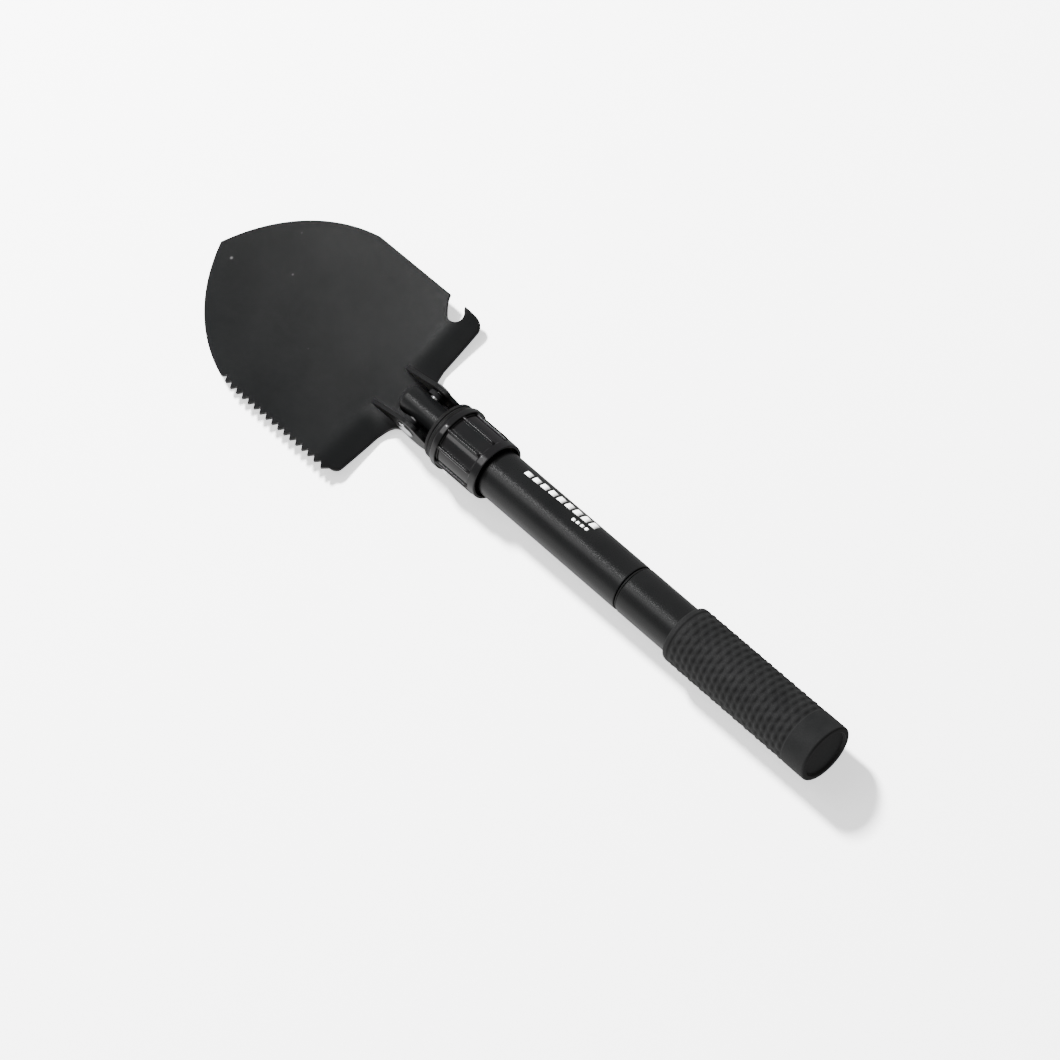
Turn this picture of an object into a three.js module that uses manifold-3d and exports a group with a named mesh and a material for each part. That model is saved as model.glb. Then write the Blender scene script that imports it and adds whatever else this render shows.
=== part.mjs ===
// Folding camp shovel: a pressed blade with a saw edge and a bottle opener, on a two-piece tube handle.
//
// Units are millimetres. While the pieces are made, the hinge rivet's axis is the Y axis and the handle's
// axis is the X axis: the blade's tip points to -X, the grip to +X, and the blade's hollow side faces +Z.
// The saw edge is on the -Y side and the bottle opener on the +Y side. At the end, the whole group is moved
// so that its origin is in the middle of the footprint, on the plane that the lowest point stands on.

import * as THREE from "three";
import { mergeVertices } from "three/addons/utils/BufferGeometryUtils.js";
import Module from "manifold-3d";

const wasm = await Module();
wasm.setup();

// ---------------------------------------------------------------- driving dimensions
const GAP = 0.3; // clearance between touching pieces
const PIECE_SIDES = 48; // facets round the larger turned pieces
const SMALL_SIDES = 32; // facets round the small turned pieces

// blade
const TIP_X = -153.7;
const HALF_WIDTH = 50.9;
const NOSE_END_X = -89; // where the nose arcs meet the straight sides
const NOSE_RADIUS = 86.7;
const SHEET = 2.0;
const CREASE_X = -27.6; // the shoulders bend down behind this line
const CREASE_Z = -9.6;
const CREASE_RADIUS = 4;
const FRONT_SLOPE = 0.036; // the blade drops slightly towards its tip
const SHOULDER_SLOPE = 0.36; // and the shoulders drop steeply behind the crease
const NECK_FLAT_Y = 8; // the middle of the neck stays flat to this half width
const BEND_FULL_Y = 22; // and the shoulders are fully bent from this one
const DISH = 3; // rise of the side edges above the middle
const SHOULDER_X = -16.2; // rear edge of the blade at its corners
const SHOULDER_FALL = 0.7; // the shoulders slope back this far
const SHOULDER_HALF_WIDTH = 22; // where they start to curve into the neck
const CORNER_RADIUS = 5.4; // rear corner on the opener side
const SAW_CORNER_RADIUS = 4; // and on the saw side
const NECK_X = -8.4; // rear end of the neck
const NECK_HALF_WIDTH = 12.3;

// saw edge
const TOOTH_PITCH = 4.37;
const TOOTH_DEPTH = 2.8;
const TOOTH_COUNT = 17;
const SAW_FRONT_X = -96.8;

// bottle opener
const NOTCH_X = -29.5; // centre of the round bottom of the notch
const NOTCH_Y = 45.5;
const NOTCH_RADIUS = 4.2;
const NOTCH_FRONT_X = -38.6; // where its curved front wall meets the side edge
const HOOK_X = -28; // the hook's point

// hinge
const EAR_INNER = 10; // half the space between the ears
const EAR_THICK = 2.2;
const WEB_RADIUS = 12.65; // inside of the web that joins the ears; the nose of the stem turns inside it
const EAR_NOSE_X = -26.7; // front end of the ear
const EAR_TOP_X = -2; // the straight top edge ends here
const EAR_TOP_Z = 7.4;
const EAR_PEAK_Z = 9.15;
const EAR_FLAT_X = 6.6; // rear end of the flat on top of the ear
const EAR_REAR_X = 9; // and of the chamfer behind it
const RIVET_RADIUS = 2.7;
const RIVET_HEAD_RADIUS = 4.8;
const RIVET_HEAD_HEIGHT = 1.7;
const SPACER_RADIUS = 4.6;
const BUSH_RADIUS = 4.0;
const STEM_RADIUS = 7.0;
const STEM_FRONT_X = -11.5;
const STEM_REAR_X = 62;
const STEM_NOSE_RADIUS = 3.2;

// lock nut and thrust washer
const WASHER_X = 16.6;
const WASHER_THICK = 4.2;
const WASHER_RADIUS = 15.05;
const NUT_X = 21;
const NUT_RIM_END_X = 24.8;
const NUT_RIB_END_X = 45.2;
const NUT_END_X = 50;
const NUT_WALL_END_X = 23.6;
const NUT_RIM_RADIUS = 16.2;
const NUT_BODY_RADIUS = 14.7;
const NUT_RIB_RADIUS = 15.75;
const NUT_TAIL_RADIUS = 14.9;
const NUT_BORE = 13.5;
const NUT_EDGE_ROUND = 0.9;
const RIB_COUNT = 10;
const RIB_WIDTH = 2.4;
const FIRST_RIB_DEG = 26;
const INSERT_X = 25.6;
const INSERT_END_X = 40.4;
const THREAD_RADIUS = 10.1;

// handle
const TUBE_RADIUS = 12;
const TUBE_BORE = 10.7;
const TUBE_FRONT_X = 46.4;
const COLLAR_X = 30;
const COLLAR_END_X = 66;
const PIN_X = 55;
const PIN_RADIUS = 2;
const JOINT_X = 140;
const SEAL_THICK = 1.0;
const SEAL_RADIUS = 11.5;
const COUPLING_RADIUS = 8.6;
const COUPLING_BORE = 6;
const SOCKET_X = 118;
const STUD_X = 121;
const STUD_END_X = 166;
const REAR_TUBE_END_X = 252;
const GRIP_X = 173.5;
const GRIP_END_X = 261.5;
const GRIP_RADIUS = 14.5;
const GRIP_WALL_X = 254;
const GRIP_RECESS_RADIUS = 11.3;
const GRIP_RECESS_DEPTH = 1.2;
const GRIP_FRONT_ROUND = 1.2;
const GRIP_END_ROUND = 1.4;
const PLUG_X = 238;

// ---------------------------------------------------------------- materials
function finish(color, roughness, metalness) {
  return new THREE.MeshStandardMaterial({ color, roughness, metalness });
}
const bladeCoat = finish(0x17181a, 0.55, 0.3);
const tubeCoat = finish(0x121314, 0.42, 0.3);
const brightSteel = finish(0xb9bcc0, 0.25, 1.0);
const darkSteel = finish(0x4a4c50, 0.4, 1.0);
const brass = finish(0xb08d4a, 0.35, 1.0);
const nutPlastic = finish(0x0c0c0d, 0.18, 0.0);
const blackRubber = finish(0x141415, 0.8, 0.0);
const sealRubber = finish(0x050505, 0.7, 0.0);
const innerPlastic = finish(0x1d1d1f, 0.6, 0.0);

// ---------------------------------------------------------------- solids
// A closed three.js geometry as a solid, with its faces turned outwards.
function solid(geometry) {
  const bare = geometry.clone();
  bare.deleteAttribute("normal");
  bare.deleteAttribute("uv");
  const merged = mergeVertices(bare, 1e-3);
  const triVerts = new Uint32Array(merged.index.array);
  const vertProperties = merged.attributes.position.array;
  const build = () => new wasm.Manifold(new wasm.Mesh({ numProp: 3, vertProperties, triVerts }));
  const made = build();
  if (made.volume() > 0) return made;
  for (let i = 0; i < triVerts.length; i += 3) {
    [triVerts[i + 1], triVerts[i + 2]] = [triVerts[i + 2], triVerts[i + 1]];
  }
  return build();
}

const shovel = new THREE.Group();

// Adds a solid to the shovel as a named mesh.
function place(name, body, material) {
  const mesh = body.getMesh();
  const geometry = new THREE.BufferGeometry();
  const positions = new Float32Array(mesh.vertProperties);
  geometry.setAttribute("position", new THREE.BufferAttribute(positions, 3));
  geometry.setIndex(new THREE.BufferAttribute(new Uint32Array(mesh.triVerts), 1));
  geometry.computeVertexNormals();
  const part = new THREE.Mesh(geometry, material);
  part.name = name;
  shovel.add(part);
}

// A profile of [position along the axis, radius] turned about the X axis.
// It closes on itself or ends on the axis.
function turnedX(profile, sides = PIECE_SIDES) {
  const points = profile.map(([along, radius]) => new THREE.Vector2(radius, along));
  return solid(new THREE.LatheGeometry(points, sides).rotateZ(-Math.PI / 2));
}

// The same about the Y axis.
function turnedY(profile, sides = SMALL_SIDES) {
  const points = profile.map(([along, radius]) => new THREE.Vector2(radius, along));
  return solid(new THREE.LatheGeometry(points, sides));
}

// A plain sleeve between two places on an axis, as a closed profile.
function sleeve(from, to, outer, bore) {
  return [
    [from, bore],
    [from, outer],
    [to, outer],
    [to, bore],
    [from, bore],
  ];
}

// A plain rod, as a profile that ends on the axis.
function rod(from, to, radius) {
  return [
    [from, 0],
    [from, radius],
    [to, radius],
    [to, 0],
  ];
}

// Points of a quarter round on a turned profile, from angle a to angle b in degrees about its centre.
function round(along, radius, size, a, b, steps = 4) {
  const points = [];
  for (let i = 0; i <= steps; i++) {
    const t = THREE.MathUtils.degToRad(a + ((b - a) * i) / steps);
    points.push([along + size * Math.cos(t), radius + size * Math.sin(t)]);
  }
  return points;
}

// ---------------------------------------------------------------- blade
// Height of the blade's hollow side above the XY plane.
function bladeTop(x, y) {
  const past = x - CREASE_X;
  let bent = 0;
  if (past > CREASE_RADIUS) bent = past;
  else if (past > -CREASE_RADIUS) bent = (past + CREASE_RADIUS) ** 2 / (4 * CREASE_RADIUS);
  const fall = SHOULDER_SLOPE * THREE.MathUtils.smoothstep(Math.abs(y), NECK_FLAT_Y, BEND_FULL_Y);
  const dish = DISH * (y / HALF_WIDTH) ** 2;
  return CREASE_Z + FRONT_SLOPE * past - (FRONT_SLOPE + fall) * bent + dish;
}

// A slab that follows the blade's surface, from `below` under it to `above` over it.
function bladeSlab(x0, x1, halfWidth, below, above, cell = 4.4) {
  const nx = Math.ceil((x1 - x0) / cell);
  const ny = Math.ceil((2 * halfWidth) / cell);
  const slab = new THREE.BoxGeometry(1, 1, 1, nx, ny, 1);
  const position = slab.attributes.position;
  for (let i = 0; i < position.count; i++) {
    const x = x0 + (position.getX(i) + 0.5) * (x1 - x0);
    const y = position.getY(i) * 2 * halfWidth;
    const z = bladeTop(x, y) + (position.getZ(i) > 0 ? above : -below);
    position.setXYZ(i, x, y, z);
  }
  return solid(slab);
}

// Half the blade's width at a place on its nose: an arc from the tip to the straight side.
function noseHalfWidth(x) {
  const reach = NOSE_END_X - TIP_X;
  const chord = Math.hypot(reach, HALF_WIDTH);
  const toCentre = Math.sqrt(NOSE_RADIUS ** 2 - (chord / 2) ** 2);
  const centreX = (TIP_X + NOSE_END_X) / 2 + (toCentre * HALF_WIDTH) / chord;
  const centreY = HALF_WIDTH / 2 - (toCentre * reach) / chord;
  return centreY + Math.sqrt(NOSE_RADIUS ** 2 - (x - centreX) ** 2);
}

// Half the blade's width on the saw side, which is straight behind the nose.
const sideHalfWidth = (x) => (x < NOSE_END_X ? noseHalfWidth(x) : HALF_WIDTH);

// The notch: a curved front wall, a round bottom and a hook that points forwards.
function cutNotch(outline) {
  const wallEnd = Math.PI * 1.25;
  const hookStart = Math.PI * 2.25;
  const wallEndX = NOTCH_X + NOTCH_RADIUS * Math.cos(wallEnd);
  const wallEndY = NOTCH_Y + NOTCH_RADIUS * Math.sin(wallEnd);
  outline.lineTo(NOTCH_FRONT_X, HALF_WIDTH);
  outline.quadraticCurveTo(NOTCH_FRONT_X + 1, NOTCH_Y + 1.8, wallEndX, wallEndY);
  outline.absarc(NOTCH_X, NOTCH_Y, NOTCH_RADIUS, wallEnd, hookStart, false);
  outline.quadraticCurveTo(HOOK_X, NOTCH_Y + NOTCH_RADIUS, HOOK_X, HALF_WIDTH);
}

function bladeOutline() {
  const outline = new THREE.Shape();
  const noseSteps = 20;
  outline.moveTo(TIP_X, 0);
  for (let i = 1; i <= noseSteps; i++) {
    const x = THREE.MathUtils.lerp(TIP_X, NOSE_END_X, i / noseSteps);
    outline.lineTo(x, noseHalfWidth(x));
  }
  cutNotch(outline);
  // rear corners, shoulders and neck
  const shoulderX = SHOULDER_X + SHOULDER_FALL;
  const neckCurve = 1.5; // how far the shoulders' curve into the neck is drawn out
  const cornerX = SHOULDER_X - CORNER_RADIUS;
  outline.absarc(cornerX, HALF_WIDTH - CORNER_RADIUS, CORNER_RADIUS, Math.PI / 2, 0, true);
  const curveX = shoulderX + neckCurve;
  const curveY = NECK_HALF_WIDTH + neckCurve;
  outline.lineTo(shoulderX, SHOULDER_HALF_WIDTH);
  outline.quadraticCurveTo(curveX, curveY, NECK_X, NECK_HALF_WIDTH);
  outline.lineTo(NECK_X, -NECK_HALF_WIDTH);
  outline.quadraticCurveTo(curveX, -curveY, shoulderX, -SHOULDER_HALF_WIDTH);
  const valleyY = TOOTH_DEPTH - HALF_WIDTH;
  const sawCornerX = SHOULDER_X - SAW_CORNER_RADIUS;
  outline.absarc(sawCornerX, valleyY + SAW_CORNER_RADIUS, SAW_CORNER_RADIUS, 0, -Math.PI / 2, true);
  // saw edge: each tooth is a sharp V cut into the side
  for (let i = TOOTH_COUNT; i > 0; i--) {
    const valley = SAW_FRONT_X + TOOTH_PITCH * (i - 0.5);
    const tooth = SAW_FRONT_X + TOOTH_PITCH * i;
    outline.lineTo(tooth, -sideHalfWidth(tooth));
    outline.lineTo(valley, TOOTH_DEPTH - sideHalfWidth(valley));
  }
  const sawNoseSteps = 15;
  for (let i = sawNoseSteps; i > 0; i--) {
    const x = THREE.MathUtils.lerp(TIP_X, SAW_FRONT_X, i / sawNoseSteps);
    outline.lineTo(x, -noseHalfWidth(x));
  }
  outline.closePath();
  return outline;
}

// The flat outline is extruded past the sheet both ways, and the sheet's curved slab is cut to it.
function bladePlate() {
  const tall = 60;
  const past = 3;
  const options = { depth: tall, bevelEnabled: false, curveSegments: 10 };
  const blank = new THREE.ExtrudeGeometry(bladeOutline(), options);
  blank.translate(0, 0, CREASE_Z - tall / 2);
  return solid(blank).intersect(bladeSlab(TIP_X - past, NECK_X + past, HALF_WIDTH + past, SHEET, 0));
}

// ---------------------------------------------------------------- hinge
// The web: the neck goes on as a curved strip below the stem, round the hinge's axis.
function heelWeb() {
  const from = -2.4;
  const to = -0.75;
  const profile = new THREE.Shape();
  profile.absarc(0, 0, WEB_RADIUS + SHEET, from, to, false);
  profile.absarc(0, 0, WEB_RADIUS, to, from, true);
  profile.closePath();
  const depth = 2 * (EAR_INNER - GAP);
  const strip = new THREE.ExtrudeGeometry(profile, { depth, bevelEnabled: false, curveSegments: 14 });
  strip.rotateX(Math.PI / 2);
  strip.translate(0, depth / 2, 0);
  return solid(strip);
}

// The blade with its neck and web, cleared for the nose of the stem.
function blade() {
  const reach = EAR_INNER - GAP / 2;
  const sweep = turnedY(rod(-reach, reach, WEB_RADIUS), 2 * PIECE_SIDES);
  return bladePlate().add(heelWeb()).subtract(sweep);
}

// An ear stands on the blade beside the stem: a long nose, a straight top edge, a chamfer and a round heel.
function earPlate(side) {
  const noseHeight = 3.3;
  const below = -20; // under the blade, where the slab cuts the outline off
  const heelStart = 0.08;
  const neckEnd = NECK_X + GAP;
  const heelRadius = WEB_RADIUS + SHEET;
  const heelEnd = Math.acos(neckEnd / heelRadius); // the heel runs round to the end of the neck
  const profile = new THREE.Shape();
  profile.moveTo(EAR_NOSE_X, below);
  profile.lineTo(EAR_NOSE_X, bladeTop(CREASE_X, EAR_INNER) + noseHeight);
  profile.lineTo(EAR_TOP_X, EAR_TOP_Z);
  profile.quadraticCurveTo(EAR_TOP_X + 2, EAR_PEAK_Z - 0.1, EAR_TOP_X + 5, EAR_PEAK_Z);
  profile.lineTo(EAR_FLAT_X, EAR_PEAK_Z - 0.3);
  profile.quadraticCurveTo(EAR_FLAT_X + 1.4, EAR_PEAK_Z - 0.7, EAR_REAR_X, EAR_PEAK_Z - 2.5);
  profile.absarc(0, 0, heelRadius, heelStart, -heelEnd, true);
  profile.lineTo(NECK_X, below);
  profile.closePath();
  const hole = new THREE.Path();
  hole.absarc(0, 0, RIVET_RADIUS + GAP, 0, Math.PI * 2, false);
  profile.holes.push(hole);
  const options = { depth: EAR_THICK, bevelEnabled: false, curveSegments: 14 };
  const plate = new THREE.ExtrudeGeometry(profile, options);
  // The outline is drawn in X and Z, so the plate is stood up and moved to its side.
  plate.rotateX(Math.PI / 2);
  plate.translate(0, side > 0 ? EAR_INNER + EAR_THICK : -EAR_INNER, 0);
  const sheet = bladeSlab(CREASE_X - 6, neckEnd, EAR_INNER + EAR_THICK + 6, 20, GAP, 3);
  return solid(plate).subtract(sheet); // what is left stands on the blade's curved surface
}

// The rivet: a shank with a domed head on the saw side and a flatter formed head on the opener side.
function hingeRivet() {
  const face = EAR_INNER + EAR_THICK + GAP;
  const edge = 0.4; // straight rim of the domed head
  const formedHeight = 1.5;
  const dome = [];
  const steps = 6;
  for (let i = 0; i <= steps; i++) {
    const t = (i / steps) * (Math.PI / 2);
    dome.push([-face - edge - (RIVET_HEAD_HEIGHT - edge) * Math.cos(t), RIVET_HEAD_RADIUS * Math.sin(t)]);
  }
  return turnedY([
    ...dome,
    [-face, RIVET_HEAD_RADIUS],
    [-face, RIVET_RADIUS],
    [face, RIVET_RADIUS],
    [face, RIVET_HEAD_RADIUS],
    [face + formedHeight - edge, RIVET_HEAD_RADIUS],
    [face + formedHeight, RIVET_HEAD_RADIUS - 1],
    [face + formedHeight, 0],
  ]);
}

// The stem: a steel rod with a rounded nose, cross-drilled for the hinge bush and for its pin.
function hingeStem() {
  const body = turnedX([
    [STEM_FRONT_X, 0],
    ...round(STEM_FRONT_X + STEM_NOSE_RADIUS, STEM_RADIUS - STEM_NOSE_RADIUS, STEM_NOSE_RADIUS, 180, 90, 5),
    [STEM_REAR_X, STEM_RADIUS],
    [STEM_REAR_X, 0],
  ]);
  const reach = STEM_RADIUS + 1;
  const hingeBore = turnedY(rod(-reach, reach, BUSH_RADIUS + GAP));
  const pinBore = turnedY(rod(-reach, reach, PIN_RADIUS + GAP)).translate([PIN_X, 0, 0]);
  return body.subtract(hingeBore).subtract(pinBore);
}

function hinge() {
  place("ear_saw_side", earPlate(-1), bladeCoat);
  place("ear_opener_side", earPlate(1), bladeCoat);
  place("hinge_rivet", hingeRivet(), brightSteel);
  place("hinge_stem", hingeStem(), tubeCoat);
  const shankBore = RIVET_RADIUS + GAP;
  const bushReach = Math.sqrt(STEM_RADIUS ** 2 - (BUSH_RADIUS + GAP) ** 2);
  place("hinge_bush", turnedY(sleeve(-bushReach, bushReach, BUSH_RADIUS, shankBore)), brass);
  const spacer = sleeve(STEM_RADIUS + GAP, EAR_INNER - GAP, SPACER_RADIUS, shankBore);
  const mirrored = spacer.map(([along, radius]) => [-along, radius]);
  place("hinge_spacer_opener_side", turnedY(spacer), innerPlastic);
  place("hinge_spacer_saw_side", turnedY(mirrored), innerPlastic);
}

// ---------------------------------------------------------------- lock nut
function lockNut() {
  let nut = turnedX([
    [NUT_X, STEM_RADIUS + 2 * GAP],
    ...round(NUT_X + NUT_EDGE_ROUND, NUT_RIM_RADIUS - NUT_EDGE_ROUND, NUT_EDGE_ROUND, 180, 90, 3),
    [NUT_RIM_END_X - 0.5, NUT_RIM_RADIUS],
    [NUT_RIM_END_X, NUT_RIM_RADIUS - 0.5],
    [NUT_RIM_END_X, NUT_BODY_RADIUS],
    [NUT_RIB_END_X, NUT_BODY_RADIUS],
    [NUT_RIB_END_X + 0.3, NUT_TAIL_RADIUS],
    ...round(NUT_END_X - NUT_EDGE_ROUND, NUT_TAIL_RADIUS - NUT_EDGE_ROUND, NUT_EDGE_ROUND, 90, 0, 3),
    [NUT_END_X, NUT_BORE],
    [NUT_WALL_END_X, NUT_BORE],
    [NUT_WALL_END_X, STEM_RADIUS + 2 * GAP],
    [NUT_X, STEM_RADIUS + 2 * GAP],
  ]);
  // Each rib is a bar with a rounded back, sunk into the nut's wall.
  const root = NUT_BORE + 0.5;
  const half = RIB_WIDTH / 2;
  const draft = 0.3; // the rib's sides lean in by this much
  const crown = NUT_RIB_RADIUS - 0.5;
  const section = new THREE.Shape();
  section.moveTo(-half - draft, root);
  section.lineTo(half + draft, root);
  section.lineTo(half - draft, crown);
  section.quadraticCurveTo(half - 2 * draft, NUT_RIB_RADIUS, 0, NUT_RIB_RADIUS);
  section.quadraticCurveTo(2 * draft - half, NUT_RIB_RADIUS, draft - half, crown);
  section.closePath();
  const overlap = 0.8; // how far a rib runs into the rim and the tail
  const depth = NUT_RIB_END_X - NUT_RIM_END_X + overlap + draft;
  for (let i = 0; i < RIB_COUNT; i++) {
    const rib = new THREE.ExtrudeGeometry(section, { depth, bevelEnabled: false, curveSegments: 3 });
    rib.rotateX(Math.PI / 2);
    rib.rotateZ(Math.PI / 2);
    rib.rotateX(THREE.MathUtils.degToRad(FIRST_RIB_DEG + (360 / RIB_COUNT) * i - 90));
    rib.translate(NUT_RIM_END_X - overlap, 0, 0);
    nut = nut.add(solid(rib));
  }
  return nut;
}

function lockingSet() {
  const washer = [
    [WASHER_X, STEM_RADIUS + GAP],
    [WASHER_X, WASHER_RADIUS - 0.5],
    [WASHER_X + 0.5, WASHER_RADIUS],
    [WASHER_X + WASHER_THICK, WASHER_RADIUS],
    [WASHER_X + WASHER_THICK, STEM_RADIUS + GAP],
    [WASHER_X, STEM_RADIUS + GAP],
  ];
  place("thrust_washer", turnedX(washer), sealRubber);
  place("lock_nut", lockNut(), nutPlastic);
  place("nut_insert", turnedX(sleeve(INSERT_X, INSERT_END_X, NUT_BORE - GAP, THREAD_RADIUS + GAP)), brass);
  const collar = turnedX(sleeve(COLLAR_X, COLLAR_END_X, THREAD_RADIUS, STEM_RADIUS + GAP));
  const reach = THREAD_RADIUS + 1;
  const pinBore = turnedY(rod(-reach, reach, PIN_RADIUS + GAP)).translate([PIN_X, 0, 0]);
  place("threaded_collar", collar.subtract(pinBore), darkSteel);
  const pinReach = Math.sqrt(THREAD_RADIUS ** 2 - PIN_RADIUS ** 2);
  place("stem_pin", turnedY(rod(-pinReach, pinReach, PIN_RADIUS)).translate([PIN_X, 0, 0]), darkSteel);
}

// ---------------------------------------------------------------- handle
function frontHandle() {
  place("front_tube", turnedX(sleeve(TUBE_FRONT_X, JOINT_X - GAP, TUBE_RADIUS, TUBE_BORE)), tubeCoat);
  const socket = sleeve(SOCKET_X, JOINT_X - GAP, TUBE_BORE - GAP, COUPLING_RADIUS + GAP);
  place("coupling_socket", turnedX(socket), darkSteel);
}

function rearHandle() {
  const rearFace = JOINT_X + SEAL_THICK;
  const seal = sleeve(JOINT_X, rearFace, SEAL_RADIUS, COUPLING_RADIUS + GAP);
  place("joint_seal", turnedX(seal), sealRubber);
  const tube = sleeve(rearFace + GAP, REAR_TUBE_END_X, TUBE_RADIUS, TUBE_BORE);
  place("rear_tube", turnedX(tube), tubeCoat);
  const stud = [
    [STUD_X, COUPLING_BORE],
    [STUD_X, COUPLING_RADIUS],
    [rearFace + GAP, COUPLING_RADIUS],
    [rearFace + GAP, TUBE_BORE - GAP],
    [STUD_END_X, TUBE_BORE - GAP],
    [STUD_END_X, COUPLING_BORE],
    [STUD_X, COUPLING_BORE],
  ];
  place("coupling_stud", turnedX(stud), darkSteel);
  const plug = [
    [PLUG_X, 0],
    [PLUG_X, TUBE_BORE - GAP],
    [REAR_TUBE_END_X + GAP, TUBE_BORE - GAP],
    [REAR_TUBE_END_X + GAP, TUBE_RADIUS],
    [GRIP_WALL_X - GAP, TUBE_RADIUS],
    [GRIP_WALL_X - GAP, 0],
  ];
  place("tube_end_plug", turnedX(plug), innerPlastic);
  const grip = [
    [GRIP_X, TUBE_RADIUS + GAP],
    ...round(GRIP_X + GRIP_FRONT_ROUND, GRIP_RADIUS - GRIP_FRONT_ROUND, GRIP_FRONT_ROUND, 180, 90, 3),
    ...round(GRIP_END_X - GRIP_END_ROUND, GRIP_RADIUS - GRIP_END_ROUND, GRIP_END_ROUND, 90, 0, 4),
    [GRIP_END_X, GRIP_RECESS_RADIUS + 0.8],
    [GRIP_END_X - GRIP_RECESS_DEPTH, GRIP_RECESS_RADIUS],
    [GRIP_END_X - GRIP_RECESS_DEPTH, 0],
    [GRIP_WALL_X, 0],
    [GRIP_WALL_X, TUBE_RADIUS + GAP],
    [GRIP_X, TUBE_RADIUS + GAP],
  ];
  place("rubber_grip", turnedX(grip, 64), blackRubber);
}

// ---------------------------------------------------------------- assembly
place("blade_plate", blade(), bladeCoat);
hinge();
lockingSet();
frontHandle();
rearHandle();

const lowest = new THREE.Box3().setFromObject(shovel).min.z;
shovel.position.set(-(TIP_X + GRIP_END_X) / 2, 0, -lowest);

export default shovel;
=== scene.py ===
"""Looks of the folding camp shovel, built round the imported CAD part.

Sizes are in millimetres in the part's design frame: the hinge rivet's axis is Y, the handle's axis is X.
`spot` moves a design point to the row frame, in metres. The camera, the floor and the lights are in metres.
"""

import math

import bmesh
import bpy
import numpy as np
from mathutils import Euler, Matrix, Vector
from mathutils.geometry import delaunay_2d_cdt


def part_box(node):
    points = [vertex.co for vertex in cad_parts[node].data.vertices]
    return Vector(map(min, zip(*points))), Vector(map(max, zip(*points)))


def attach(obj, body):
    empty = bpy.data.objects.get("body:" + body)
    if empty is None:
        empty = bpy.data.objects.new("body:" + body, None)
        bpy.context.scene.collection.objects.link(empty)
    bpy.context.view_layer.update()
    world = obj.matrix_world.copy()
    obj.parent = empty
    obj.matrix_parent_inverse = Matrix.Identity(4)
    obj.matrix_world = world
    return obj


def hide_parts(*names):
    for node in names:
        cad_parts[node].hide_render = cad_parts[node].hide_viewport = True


MM = 0.001
FULL_TURN = 2 * math.pi

# ---------------------------------------------------------------- camera
CAMERA_PLACE = (0.8647, -0.2566, 1.6238)
CAMERA_TURN = (25.0, 14.07, 46.04)  # degrees
camera_data = bpy.data.cameras.new("camera")
camera_data.lens = 137.85
camera_data.sensor_width = 36
camera_data.clip_end = 50
camera = bpy.data.objects.new("camera", camera_data)
camera.location = CAMERA_PLACE
camera.rotation_euler = Euler([math.radians(a) for a in CAMERA_TURN])
bpy.context.scene.collection.objects.link(camera)
bpy.context.scene.camera = camera

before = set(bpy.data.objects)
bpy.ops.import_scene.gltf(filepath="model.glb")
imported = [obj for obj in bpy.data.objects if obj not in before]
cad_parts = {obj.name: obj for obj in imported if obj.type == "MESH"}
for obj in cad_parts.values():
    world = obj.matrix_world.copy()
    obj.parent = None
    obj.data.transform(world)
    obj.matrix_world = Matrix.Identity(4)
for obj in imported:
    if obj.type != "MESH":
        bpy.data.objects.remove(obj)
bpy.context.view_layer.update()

rivet_low, rivet_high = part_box("hinge_rivet")
tube_low, tube_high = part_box("front_tube")
PIVOT_X = (rivet_low.x + rivet_high.x) / 2
AXIS_Z = (tube_low.z + tube_high.z) / 2


def design_x(value):
    """A row X in metres as a design X in millimetres."""
    return (value - PIVOT_X) / MM


def spot(x, y, z):
    """A design point in millimetres as a row point in metres."""
    return Vector((PIVOT_X + x * MM, y * MM, AXIS_Z + z * MM))


# ---------------------------------------------------------------- materials
LOW_STOP, HIGH_STOP = 0.3, 0.7  # where a ramp over noise starts and ends
SPECK_EDGE = 0.055  # a speck's radius, in cells of the pattern
RELIEF_DEPTH = 0.0001  # metres
RELIEF_FINENESS = 1.7  # how much finer the relief is than the roughness grain


def ramp(nodes, links, source, stops):
    """A colour ramp fed by source; stops are (place, colour)."""
    made = nodes.new("ShaderNodeValToRGB")
    elements = made.color_ramp.elements
    while len(elements) > 1:
        elements.remove(elements[0])
    elements[0].position, elements[0].color = stops[0][0], (*stops[0][1], 1)
    for place, colour in stops[1:]:
        elements.new(place).color = (*colour, 1)
    links.new(source, made.inputs["Fac"])
    return made.outputs["Color"]


def noise(nodes, links, where, scale, detail):
    """Noise over the coordinates that where gives."""
    made = nodes.new("ShaderNodeTexNoise")
    made.inputs["Scale"].default_value = scale
    made.inputs["Detail"].default_value = detail
    made.inputs["Roughness"].default_value = 0.55
    links.new(where, made.inputs["Vector"])
    return made.outputs["Fac"]


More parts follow.
